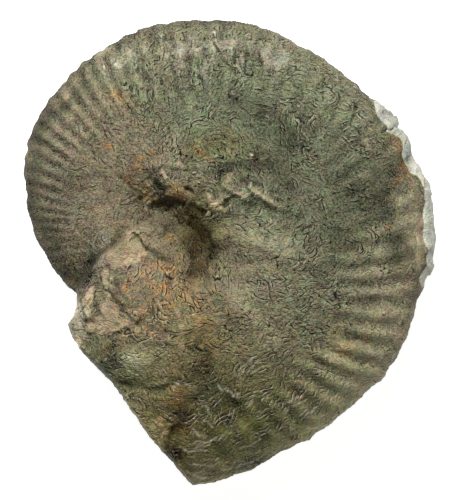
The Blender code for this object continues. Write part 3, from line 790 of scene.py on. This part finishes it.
def lower(radius, angle):
    """Height of the hidden flank under the middle plane, below zero, with its navel."""
    navel = sum(depth * smooth(outer, inner, radius) for outer, inner, depth in NAVEL)
    return navel - coil(LOWER, radius, angle)


def rings():
    """Angle, steepness and side of each point, and the triangles between the rings of points."""
    counts = [1] + [POINTS_FIRST_RING * ring for ring in range(1, RINGS_ABOVE + 1)]
    steepness = [90.0 * ring / RINGS_ABOVE for ring in range(RINGS_ABOVE + 1)]
    sides = [1.0] * RINGS_ABOVE + [0.0]
    for ring in range(RINGS_BELOW - 1, 0, -1):
        counts.append(POINTS_FIRST_RING * ring)
        steepness.append(90.0 * ring / RINGS_BELOW)
        sides.append(-1.0)
    counts.append(1)
    steepness.append(0.0)
    sides.append(-1.0)

    starts = np.concatenate([[0], np.cumsum(counts)])
    angles = np.concatenate([np.arange(count) * 360.0 / count for count in counts])
    triangles = []
    for ring in range(len(counts) - 1):
        triangles += between(starts[ring], counts[ring], starts[ring + 1], counts[ring + 1])
    return (
        turned(angles, FIRST_ANGLE),
        np.repeat(steepness, counts),
        np.repeat(sides, counts),
        np.concatenate(triangles),
    )


def between(first, count, second, other):
    """The triangles between two rings of points, each given by its first point and its number of points."""
    found = []
    own = np.arange(count)
    across = np.floor((own + 0.5) * other / count + 0.5).astype(int)
    if count > 1:
        found.append(np.stack([first + own, second + across % other, first + (own + 1) % count], axis=1))
    if other > 1:
        edges = np.arange(across[-1] - other, across[-1])
        near = np.searchsorted(across, edges, side="right") % count
        found.append(
            np.stack([first + near, second + edges % other, second + (edges + 1) % other], axis=1)
        )
    return found


def surface(angle, steepness, side):
    """The plain surface, and each point's radius in plan and height on the ribs.

    Towards the rim the ribs' height turns outward and shows as scallops.
    """
    outward = 0.5 * (np.sin(np.radians(steepness)) + steepness / 90.0)
    radius = outward * edge(angle)
    across, down = np.cos(np.radians(angle)), np.sin(np.radians(angle))
    x = COIL_X + radius * across
    y = COIL_Y - radius * down
    above = upper(*NOISE.bend(x, y, FLANK_BENT), radius, angle)
    height = np.where(side > 0, above, lower(radius, angle))

    uneven = 1.0 + NOISE.add_up(x, y, 0.0, RIB_NOISE)
    relief = ribs(*NOISE.bend(x, y, RIBS_BENT), radius, angle) * uneven
    sideways = outward ** 6
    height = (height + side * relief * (1.0 - sideways)) * np.abs(side)
    height *= np.sqrt(np.clip((edge(angle) - radius) / RIM_CLOSING, 0.0, 1.0))
    x += SCALLOP_SHARE * relief * sideways * across
    y -= SCALLOP_SHARE * relief * sideways * down
    return np.stack([x, y, MIDDLE + height], axis=1), radius, relief


def normals_of(points, triangles):
    """The normal at each point, from the triangles around it."""
    a, b, c = (points[triangles[:, corner]] for corner in range(3))
    faces = np.cross(b - a, c - a)
    normals = np.zeros_like(points)
    for corner in range(3):
        for axis in range(3):
            normals[:, axis] += np.bincount(triangles[:, corner], faces[:, axis], len(points))
    return normals / np.linalg.norm(normals, axis=1, keepdims=True)


def comb_of(points, normals, angle):
    """The way along the lines and the way beside them at each point, both in the surface."""
    x, y, z = points.T
    around = np.stack([-np.sin(np.radians(angle)), -np.cos(np.radians(angle)), np.zeros_like(x)], axis=1)
    around -= normals * (around * normals).sum(axis=1, keepdims=True)
    around /= np.linalg.norm(around, axis=1, keepdims=True) + TINY
    across = np.cross(normals, around)
    heading = combed(x, y) + np.radians(angle + 90.0) + NOISE.add_up(x, y, z, HEADING_NOISE)
    cos, sin = np.cos(heading)[:, None], np.sin(heading)[:, None]
    return around * cos + across * sin, across * cos - around * sin


def masks_of(x, y, z, side, angle, inward, crag):
    """What the stone's material reads at each point, by name."""
    tables = {
        "rust": RUST, "umber_and_painted_shade": UMBER_AND_PAINTED_SHADE, "dark": DARK_AND_PAINTED_SHADE, "pale": PALE, "green": GREEN, "olive": OLIVE,
        "lilac": LILAC, "stroked": STROKED,
    }
    masks = {name: zone(table, x, y, z) for name, table in tables.items()}
    for name, table in (("rust", RUST_STREAKS), ("dark", DARK_AND_SHADE_STREAKS), ("pale", PALE_STREAKS)):
        masks[name] = np.maximum(masks[name], streaks(table, x, y, side))
    masks["pale"] = smooth(*PALE_EDGE, masks["pale"])
    # Bright strokes, partly painted highlight, and painted glints
    masks["bright_strokes_and_glints"] = streaks(BRIGHT_STROKES_AND_GLINTS, x, y, side)

    # Lighter and darker tone, partly the stone's own and partly painted light and painted shade
    bright = zone(PAINTED_LIGHT_AND_LIGHTER, x, y, z, tones) - zone(SHADED, x, y, z, tones)
    bright += streaks(PAINTED_LIGHT_STREAKS, x, y, side)
    masks["light"] = np.where(side < 0.0, np.clip(bright, -HIDDEN_TONE, HIDDEN_TONE), bright)

    ragged = inward + NOISE.add_up(x, y, z, CRUST_NOISE)
    masks["crust"] = crust_at(angle) * smooth(0.0, CRUST_EDGE, ragged - knots(CRUST_WIDTH, angle))
    bare = 1.0 - masks["crust"]
    # The rim's painted shade, and painted light where its amount is below zero
    masks["rim"] = bell(inward, knots(RIM_DEPTH, angle)) * knots(RIM_PAINTED_SHADE_AND_LIGHT, angle) * bare

    plain = FRILL_LESS["lilac"] * smooth(*LILAC_EDGE, masks["lilac"])
    plain += FRILL_LESS["pale"] * masks["pale"] + FRILL_LESS["crag"] * crag
    level = NOISE.add_up(x, y, z, FRILL_NOISE) + FRILL_SHARE - plain
    masks["frills"] = smooth(-FRILL_EDGE, FRILL_EDGE, level) * bare * (1.0 - zone(FAINT, x, y, z))
    return masks


def leaflets(forth, side):
    """Height of the fern-shaped lobes of the suture lines: rows of leaflets on both sides of a stem."""
    away = np.abs(side)
    wave = np.sin(2.0 * np.pi * (forth - LEAFLET_LEAN * away) / LEAFLET_SPACING)
    return wave * smooth(FERN_WIDTH, LEAFLET_FULL * FERN_WIDTH, away) - bell(away, STEM_WIDTH)


def fine_relief(x, y, z, fern, masks, crag):
    """Height of the grain, lobes, facets and flakes at each point."""
    relief = FRILL_HEIGHT * leaflets(fern[:, 0], fern[:, 1]) * masks["frills"]
    points = np.stack([x, y, z], axis=1)
    relief += NOISE.add_up(x, y, z, GROUND_NOISE)
    for size, shift, (plain, craggy, crusted) in FACETS:
        facets = CELLS.facets(points / size + shift)
        relief += (plain + craggy * crag + crusted * masks["crust"]) * facets
    relief += PALE_HEIGHT * masks["pale"]
    layer = np.mod(NOISE.add_up(x, y, z, LAYER_NOISE), 1.0)
    step = smooth(0.0, FLAKE_EDGE, layer) - layer - FLAKE_LEVEL
    return relief + FLAKE_HEIGHT * zone(FLAKES, x, y, z) * step


def lay_out(mesh, triangles, angle, steepness, side):
    """Adds the map that textures are baked with: one disc for each flank, in opposite corners."""
    corners = triangles.ravel()
    hidden = np.repeat((side[triangles] < 0.0).any(axis=1), 3)
    reach = np.where(hidden, HIDDEN_DISC, UPPER_DISC) * steepness[corners] / 90.0
    middle = np.where(hidden, 1.0 - HIDDEN_DISC - DISC_BORDER, UPPER_DISC + DISC_BORDER)
    across = middle + reach * np.cos(np.radians(angle[corners]))
    up = middle + reach * np.sin(np.radians(angle[corners])) * np.where(hidden, 1.0, -1.0)
    mesh.uv_layers.new(name="OFBake").data.foreach_set("uv", np.stack([across, up], axis=1).ravel())


def fossil():
    """Builds the fossil's mesh with its fine relief, and stores what the stone's material reads."""
    angle, steepness, side, triangles = rings()
    points, radius, rib = surface(angle, steepness, side)
    normals = normals_of(points, triangles)
    comb, beside = comb_of(points, normals, angle)
    fern = CELLS.ferns(points, comb, beside)
    x, y, z = points.T
    crag = zone(CRAGS, x, y, z)
    masks = masks_of(x, y, z, side, angle, edge(angle) - radius, crag)
    # The ribs' height, which the material also uses to paint crests lighter and grooves darker, in part as
    # painted light and shade
    masks["rib"] = rib

    points = points + normals * fine_relief(x, y, z, fern, masks, crag)[:, None]
    points[:, 2] = np.maximum(points[:, 2], 0.0)
    moved = (points[:, :2].min(axis=0) + points[:, :2].max(axis=0)) / 2.0
    points[:, :2] -= moved

    mesh = bpy.data.meshes.new("ammonite_stone")
    mesh.vertices.add(len(points))
    mesh.vertices.foreach_set("co", (points * MM).ravel())
    mesh.loops.add(3 * len(triangles))
    mesh.loops.foreach_set("vertex_index", triangles.ravel())
    mesh.polygons.add(len(triangles))
    mesh.polygons.foreach_set("loop_start", np.arange(0, 3 * len(triangles), 3))
    mesh.update(calc_edges=True)
    mesh.validate()
    mesh.shade_smooth()
    for name, values in masks.items():
        mesh.attributes.new(name, "FLOAT", "POINT").data.foreach_set("value", values)
    for name, vectors in (("comb", comb), ("beside", beside), ("fern", fern)):
        mesh.attributes.new(name, "FLOAT_VECTOR", "POINT").data.foreach_set("vector", vectors.ravel())
    lay_out(mesh, triangles, angle, steepness, side)
    body = bpy.data.objects.new("ammonite_stone", mesh)
    bpy.context.scene.collection.objects.link(body)
    return body, moved


def camera(moved):
    """Looks straight down at the picture's middle; moved is how far the fossil was shifted to centre it."""
    data = bpy.data.cameras.new("camera")
    data.sensor_fit = "VERTICAL"
    data.sensor_height = 1000.0 * SENSOR
    data.lens = 1000.0 * SENSOR * CAMERA_DISTANCE / (IMAGE_HEIGHT * PIXEL * MM)
    eye = bpy.data.objects.new("camera", data)
    shown_x, shown_y = placed(IMAGE_WIDTH / 2.0, IMAGE_HEIGHT / 2.0)
    eye.location = (
        (shown_x - moved[0]) * MM, (shown_y - moved[1]) * MM, MIDDLE * MM + CAMERA_DISTANCE
    )
    bpy.context.scene.collection.objects.link(eye)
    bpy.context.scene.camera = eye


# The studio: a pale floor that glows, an even sky, and a soft lamp at the top of the picture, in metres
WHITE = (1.0, 1.0, 1.0, 1.0)
FLOOR = {
    "Base Color": (0.5, 0.5, 0.5, 1.0), "Roughness": 0.9, "Emission Color": WHITE, "Emission Strength": 0.92,
}
FLOOR_SIZE = 6.0
FLOOR_HEIGHT = -0.0003
SKY = {"Color": WHITE, "Strength": 0.14}
LAMP_PLACE = (-0.12, 0.46, 0.62)
LAMP_TARGET = (0.0, 0.0, 0.01)
LAMP_SIZE = 0.34
LAMP_POWER = 7.9


def fill(node, values):
    """Sets a node's inputs by name."""
    for name, value in values.items():
        node.inputs[name].default_value = value


def studio():
    """Adds the floor, the sky and the lamp."""
    bpy.ops.mesh.primitive_plane_add(size=FLOOR_SIZE, location=(0.0, 0.0, FLOOR_HEIGHT))
    floor = bpy.context.object
    floor.name = "floor"
    material = bpy.data.materials.new("floor")
    material.use_nodes = True
    fill(material.node_tree.nodes["Principled BSDF"], FLOOR)
    floor.data.materials.append(material)

    world = bpy.data.worlds.new("sky")
    world.use_nodes = True
    fill(world.node_tree.nodes["Background"], SKY)
    bpy.context.scene.world = world

    data = bpy.data.lights.new("key", "AREA")
    data.size = LAMP_SIZE
    data.energy = LAMP_POWER
    lamp = bpy.data.objects.new("key", data)
    lamp.location = LAMP_PLACE
    down = Vector(LAMP_TARGET) - Vector(LAMP_PLACE)
    lamp.rotation_euler = down.to_track_quat("-Z", "Y").to_euler()
    bpy.context.scene.collection.objects.link(lamp)


# Colours of the ground, and of the stains from the lowest to the topmost: mask, colour, how strong the
# stain is, and how grainy
BROWN_GREY = (0.188, 0.158, 0.100, 1.0)
STAINS = (
    ("green", (0.168, 0.184, 0.108, 1.0), 1.3, 0.7),
    ("olive", (0.160, 0.147, 0.058, 1.0), 0.85, 0.5),
    ("lilac", (0.262, 0.242, 0.175, 1.0), 1.1, 0.5),
    ("pale", (0.345, 0.280, 0.175, 1.0), 1.0, 0.2),
    ("rust", (0.270, 0.155, 0.058, 1.0), 0.8, 1.2),
    # The dark stain's colour, which also paints shade in the pit, under the ledges and along the rim
    ("dark", (0.050, 0.053, 0.030, 1.0), 1.0, 0.8),
    # The brown stain's colour, which also paints shade in the navel pit
    ("umber_and_painted_shade", (0.060, 0.040, 0.016, 1.0), 1.0, 0.4),
)
# Beige of the lit lines and bright strokes: their pale colour with painted highlight
LIT_LINE_BEIGE = (0.360, 0.330, 0.240, 1.0)
CALCITE = (0.530, 0.530, 0.440, 1.0)
CALCITE_EDGE = (0.3, 0.8)

# What the olive stone is multiplied by; other stone is multiplied by white
YELLOWED = (1.0, 1.0, 0.74, 1.0)

# Grain from wide to fine: size in millimetres, seed, detail. Then how much each lightens and darkens the
# stone, how much of the small grain is in the stains, how much calmer the pale chips and the crust are, and
# how much ribs and tones lighten. The ribs' share paints their crests lighter and their grooves darker,
# partly the stone's own tone and partly painted light and shade, and the tones hold painted light and shade
# besides the stone's own
GRAINS = ((7.0, 1.0, 2.0), (2.2, 5.0, 2.0), (0.75, 9.0, 1.0), (0.33, 13.0, 0.0))
GRAIN_TONES = (0.16, 0.27, 0.27, 0.46)
STAIN_GRAIN = 0.7
PALE_CALM = 0.5
CRUST_CALM = 0.7
RIB_LIGHT_AND_SHADE = 0.6
LIGHT_TONE = 0.6

# Tints of the stone: size in millimetres, seed, amount
TINTS = ((2.6, 41.0, 0.36), (0.9, 51.0, 0.3))

# Bundles of lines, main, little and long: size in millimetres, seed, spread of their directions. Then how
# fast they fade along and across, where they end, the gaps in them, and how their waves are shifted
BUNDLES = ((3.4, 3.0, 0.85), (2.4, 17.0, 0.85), (5.2, 31.0, 0.5))
BUNDLE_LENGTH = 3.4
BUNDLE_WIDTH = 9.0
BUNDLE_EDGE = (1.0, 0.35)
BUNDLE_GAP_SIZE = 1.7
BUNDLE_GAP_SEED = 40.0
BUNDLE_GAP_EDGE = (-0.9, 0.0)
BUNDLE_PHASE = 6.0
LINE_SHARE = 0.8

# The leaflets of ferns: how much their lean varies, the bend of their rows and the gaps in them
LEAFLET_LEAN_VARIES = 0.35
LEAFLET_BEND = (2.6, 71.0, 1.0)
LEAFLET_BEND_SHARE = 0.3
LEAFLET_GAPS = (1.3, 77.0, 0.0)
LEAFLET_GAP_EDGE = (-0.9, 0.1)

# Where lines are bold, the grain that sets where bundles give way to ferns, and where long lines take over
BOLD_EDGE = (-0.9, 0.4)
BOLD_LEAST = 0.3
FERN_GROUND = (5.0, 29.0, 1.0)
FERN_EDGE = (-0.25, 0.25)
LONG_EDGE = (0.4, 0.8)
SHORT_LESS = 0.5

# Lines are lit where their wave passes the first of these values, and wholly at the second. Their grooves
# run this many radians of the wave further on, and the stem of a fern has a groove too
LIT_EDGE = (0.35, 1.0)
BUNDLE_GROOVE = (1.9, (0.4, 1.0))
FERN_GROOVE = (1.7, (0.5, 1.0))
STEM_EDGE = (0.22, 0.0)
STEM_SHARE = 0.6

# How strong the lit lines are, at least and in stroked ground; how they and the grooves change the colour.
# The lit edges are painted highlight over the lines' own pale colour, and the grooves are painted shade over
# their own dark colour
LEAF_LEAST = 0.25
LEAF_STROKED = 1.3
LIT_LINE_COLOUR = 0.6
LIT_LINE_LIGHTER = 0.45
GROOVE_DARK_AND_SHADE = 0.92

# Bump in millimetres, of lit lines, grooves, small and fine grain; and how rough the stone's shine is, with
# what the small and the middling grain add
LEAF_BUMP = 0.10
GROOVE_BUMP = 0.12
SMALL_BUMP = 0.07
FINE_BUMP = 0.05
ROUGHNESS = 0.56
ROUGHNESS_GRAIN = (0.08, 0.06)


class Signal:
    """A value or a vector in the stone's node tree, so that sums of them read like plain sums."""

    def __init__(self, tree, socket):
        self.tree = tree
        self.socket = socket

    def apply(self, operation, *others, out=0):
        kind = "ShaderNodeMath" if self.socket.type == "VALUE" else "ShaderNodeVectorMath"
        return self.tree.add(kind, dict(enumerate((self,) + others)), out, operation=operation)

    def __add__(self, other):
        return self.apply("ADD", other)

    def __sub__(self, other):
        return self.apply("SUBTRACT", other)

    def __mul__(self, other):
        return self.apply("MULTIPLY", other)

    def dot(self, other):
        return self.apply("DOT_PRODUCT", other, out=1)

    def rest(self, share=1.0):
        """What is left of 1 when this share of the value is taken away."""
        return self * -share + 1.0

    def within(self):
        """The value, kept from 0 to 1."""
        return self.tree.add("ShaderNodeClamp", {0: self})

    def step(self, low, high):
        """0 at low, 1 at high, an even curve between, and no further."""
        inputs = {"Value": self, "From Min": low, "From Max": high}
        return self.tree.add("ShaderNodeMapRange", inputs, 0, interpolation_type="SMOOTHSTEP")


class Tree:
    """The stone's node tree."""

    def __init__(self, material):
        material.use_nodes = True
        self.nodes = material.node_tree.nodes
        self.links = material.node_tree.links
        self.shader = self.nodes["Principled BSDF"]

    def feed(self, entry, value):
        if isinstance(value, Signal):
            self.links.new(value.socket, entry)
        else:
            entry.default_value = value

    def add(self, kind, inputs, out=0, **settings):
        node = self.nodes.new(kind)
        for name, setting in settings.items():
            setattr(node, name, setting)
        for place, value in inputs.items():
            self.feed(node.inputs[place], value)
        return Signal(self, node.outputs[out])

    def attribute(self, name, out="Fac"):
        return self.add("ShaderNodeAttribute", {}, out, attribute_name=name)

    def blend(self, share, one, other):
        """The colour that lies this share of the way from one colour to the other."""
        return self.add("ShaderNodeMix", {0: share, 6: one, 7: other}, 2, data_type="RGBA")

    def texture(self, place, size, seed, detail, out):
        moved = place.apply("MULTIPLY_ADD", (1.0 / size,) * 3, (seed, 2.0 * seed, -seed))
        return self.add("ShaderNodeTexNoise", {"Vector": moved, "Scale": 1.0, "Detail": detail}, out)

    def grain(self, place, size, seed, detail):
        """Noise around zero, mostly from -1 to 1, of a size in millimetres."""
        return self.texture(place, size, seed, detail, 0).apply("MULTIPLY_ADD", 4.0, -2.0)

    def tint(self, place, size, seed, amount):
        """A colour close to white that varies from place to place."""
        found = self.texture(place, size, seed, 1.0, "Color")
        return found.apply("MULTIPLY_ADD", (amount,) * 3, (1.0 - 0.5 * amount,) * 3)

    def lines(self, wave, fading, groove):
        """The lit edges of a wave of lines, and the grooves that run beside them."""
        behind, groove_edge = groove
        lit, shaded = wave.apply("SINE"), (wave + behind).apply("SINE")
        return lit.step(*LIT_EDGE) * fading, shaded.step(*groove_edge) * fading

    def leaflets(self, fern, place):
        """The leaflets of the fern-shaped lobes: their lit edges, and the grooves beside them."""
        forth, reach, chance = (fern.dot(axis) for axis in np.eye(3))
        side = reach.apply("ABSOLUTE")
        lean = chance * LEAFLET_LEAN_VARIES + LEAFLET_LEAN
        forth = forth + self.grain(place, *LEAFLET_BEND) * LEAFLET_BEND_SHARE
        wave = (forth - side * lean) * (2.0 * math.pi / LEAFLET_SPACING)
        fading = side.step(FERN_WIDTH, LEAFLET_FULL * FERN_WIDTH)
        fading = fading * self.grain(place, *LEAFLET_GAPS).step(*LEAFLET_GAP_EDGE)
        lit, shaded = self.lines(wave, fading, FERN_GROOVE)
        return lit, shaded + side.step(*STEM_EDGE) * STEM_SHARE

    def bundles(self, place, comb, beside, size, seed, spread):
        """Bundles of bent lines, one in each cell: their lit edges, and the grooves beside them."""
        moved = place.apply("MULTIPLY_ADD", (1.0 / size,) * 3, (seed, -seed, seed))
        middle = self.add("ShaderNodeTexVoronoi", {"Vector": moved, "Scale": 1.0}, "Position")
        random = Signal(self, middle.socket.node.outputs["Color"])
        chance, other = (self.add("ShaderNodeSeparateColor", {0: random}, part) for part in (0, 1))
        away = (moved - middle) * (size, size, size)
        turn = (chance * 2.0 - 1.0) * spread
        cos, sin = turn.apply("COSINE"), turn.apply("SINE")
        forth, side = away.dot(comb), away.dot(beside)
        length, width = forth * cos + side * sin, side * cos - forth * sin
        bent = width + length * length * (other - 0.5) * (1.0 / size)
        far = length * length * (BUNDLE_LENGTH / size ** 2) + bent * bent * (BUNDLE_WIDTH / size ** 2)
        gaps = self.grain(place, BUNDLE_GAP_SIZE, seed + BUNDLE_GAP_SEED, 0.0).step(*BUNDLE_GAP_EDGE)
        fading = far.step(*BUNDLE_EDGE) * gaps
        wave = bent * (2.0 * math.pi / BUNDLE_SPACING) + chance * BUNDLE_PHASE
        return self.lines(wave, fading, BUNDLE_GROOVE)


def stone():
    """Green-grey and brown limestone with frilled lines, stains, a pale crust and fine grain, and with
    painted light and shade on its lines, ribs, rim, ledges and pit.
    """
    material = bpy.data.materials.new("stone")
    tree = Tree(material)
    place = tree.add("ShaderNodeTexCoord", {}, "Object") * ((1.0 / MM,) * 3)
    grains = [tree.grain(place, *grain) for grain in GRAINS]
    wide, middling, small, fine = grains

    comb, beside = tree.attribute("comb", "Vector"), tree.attribute("beside", "Vector")
    kinds = [tree.bundles(place, comb, beside, *bundle) for bundle in BUNDLES]
    kinds.append(tree.leaflets(tree.attribute("fern", "Vector"), place))
    bold = (wide + middling).step(*BOLD_EDGE) * (1.0 - BOLD_LEAST) + BOLD_LEAST
    bold = bold * tree.attribute("frills")
    bundled = tree.grain(place, *FERN_GROUND).step(*FERN_EDGE)
    ferny = bundled.rest()
    stroked = tree.attribute("stroked")
    stretched = stroked.step(*LONG_EDGE)
    shorter = stretched.rest(SHORT_LESS)
    lit, groove = (
        (main * bundled + fern * ferny + little * LINE_SHARE) * shorter + long * stretched * LINE_SHARE
        for main, little, long, fern in zip(*kinds)
    )
    lit, groove = lit * bold, groove * bold
    lit_lines_strokes_and_glints = lit * (stroked * LEAF_STROKED + LEAF_LEAST) + tree.attribute("bright_strokes_and_glints")

    colour = BROWN_GREY
    for name, stain, strength, rough in STAINS:
        share = tree.attribute(name) * ((middling + small * STAIN_GRAIN) * rough + strength)
        colour = tree.blend(share.within(), colour, stain)
    colour = tree.blend(tree.attribute("crust").step(*CALCITE_EDGE), colour, CALCITE)
    calm = (tree.attribute("pale") * PALE_CALM + tree.attribute("crust") * CRUST_CALM).rest()
    first, *others = (grain * amount for grain, amount in zip(grains, GRAIN_TONES))
    # Ribs: crests painted lighter and grooves darker, partly painted light and shade
    tone = sum(others, first) * calm + tree.attribute("rib") * RIB_LIGHT_AND_SHADE
    # Painted light and shade: the lighter and darker tones, and the rim's painted shade and light
    tone = tone + tree.attribute("light") * LIGHT_TONE - tree.attribute("rim") + 1.0
    colour = colour * tone.apply("MAXIMUM", 0.0)
    for tint in TINTS:
        colour = colour * tree.tint(place, *tint)
    colour = colour * tree.blend(tree.attribute("olive").within(), WHITE, YELLOWED)
    # Painted highlight on the lit edges of the lines and on the glints, and painted shade in the grooves,
    # over the lines' own pale and dark colour
    colour = tree.blend((lit_lines_strokes_and_glints * LIT_LINE_COLOUR).within(), colour, LIT_LINE_BEIGE)
    colour = colour * ((lit_lines_strokes_and_glints * LIT_LINE_LIGHTER + 1.0) * groove.within().rest(GROOVE_DARK_AND_SHADE))
    tree.feed(tree.shader.inputs["Base Color"], colour)
    fill(tree.shader, {"Specular IOR Level": 0.06})

    height = lit_lines_strokes_and_glints * LEAF_BUMP - groove * GROOVE_BUMP + small * SMALL_BUMP + fine * FINE_BUMP
    bump = {"Strength": 1.0, "Distance": MM, "Height": height}
    tree.feed(tree.shader.inputs["Normal"], tree.add("ShaderNodeBump", bump, 0))
    rough = small * ROUGHNESS_GRAIN[0] + middling * ROUGHNESS_GRAIN[1] + ROUGHNESS
    tree.feed(tree.shader.inputs["Roughness"], rough)
    return material


studio()
body, moved = fossil()
camera(moved)
body.data.materials.append(stone())
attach(body, "root")
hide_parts("ammonite")
bpy.context.scene.view_settings.view_transform = "Standard"
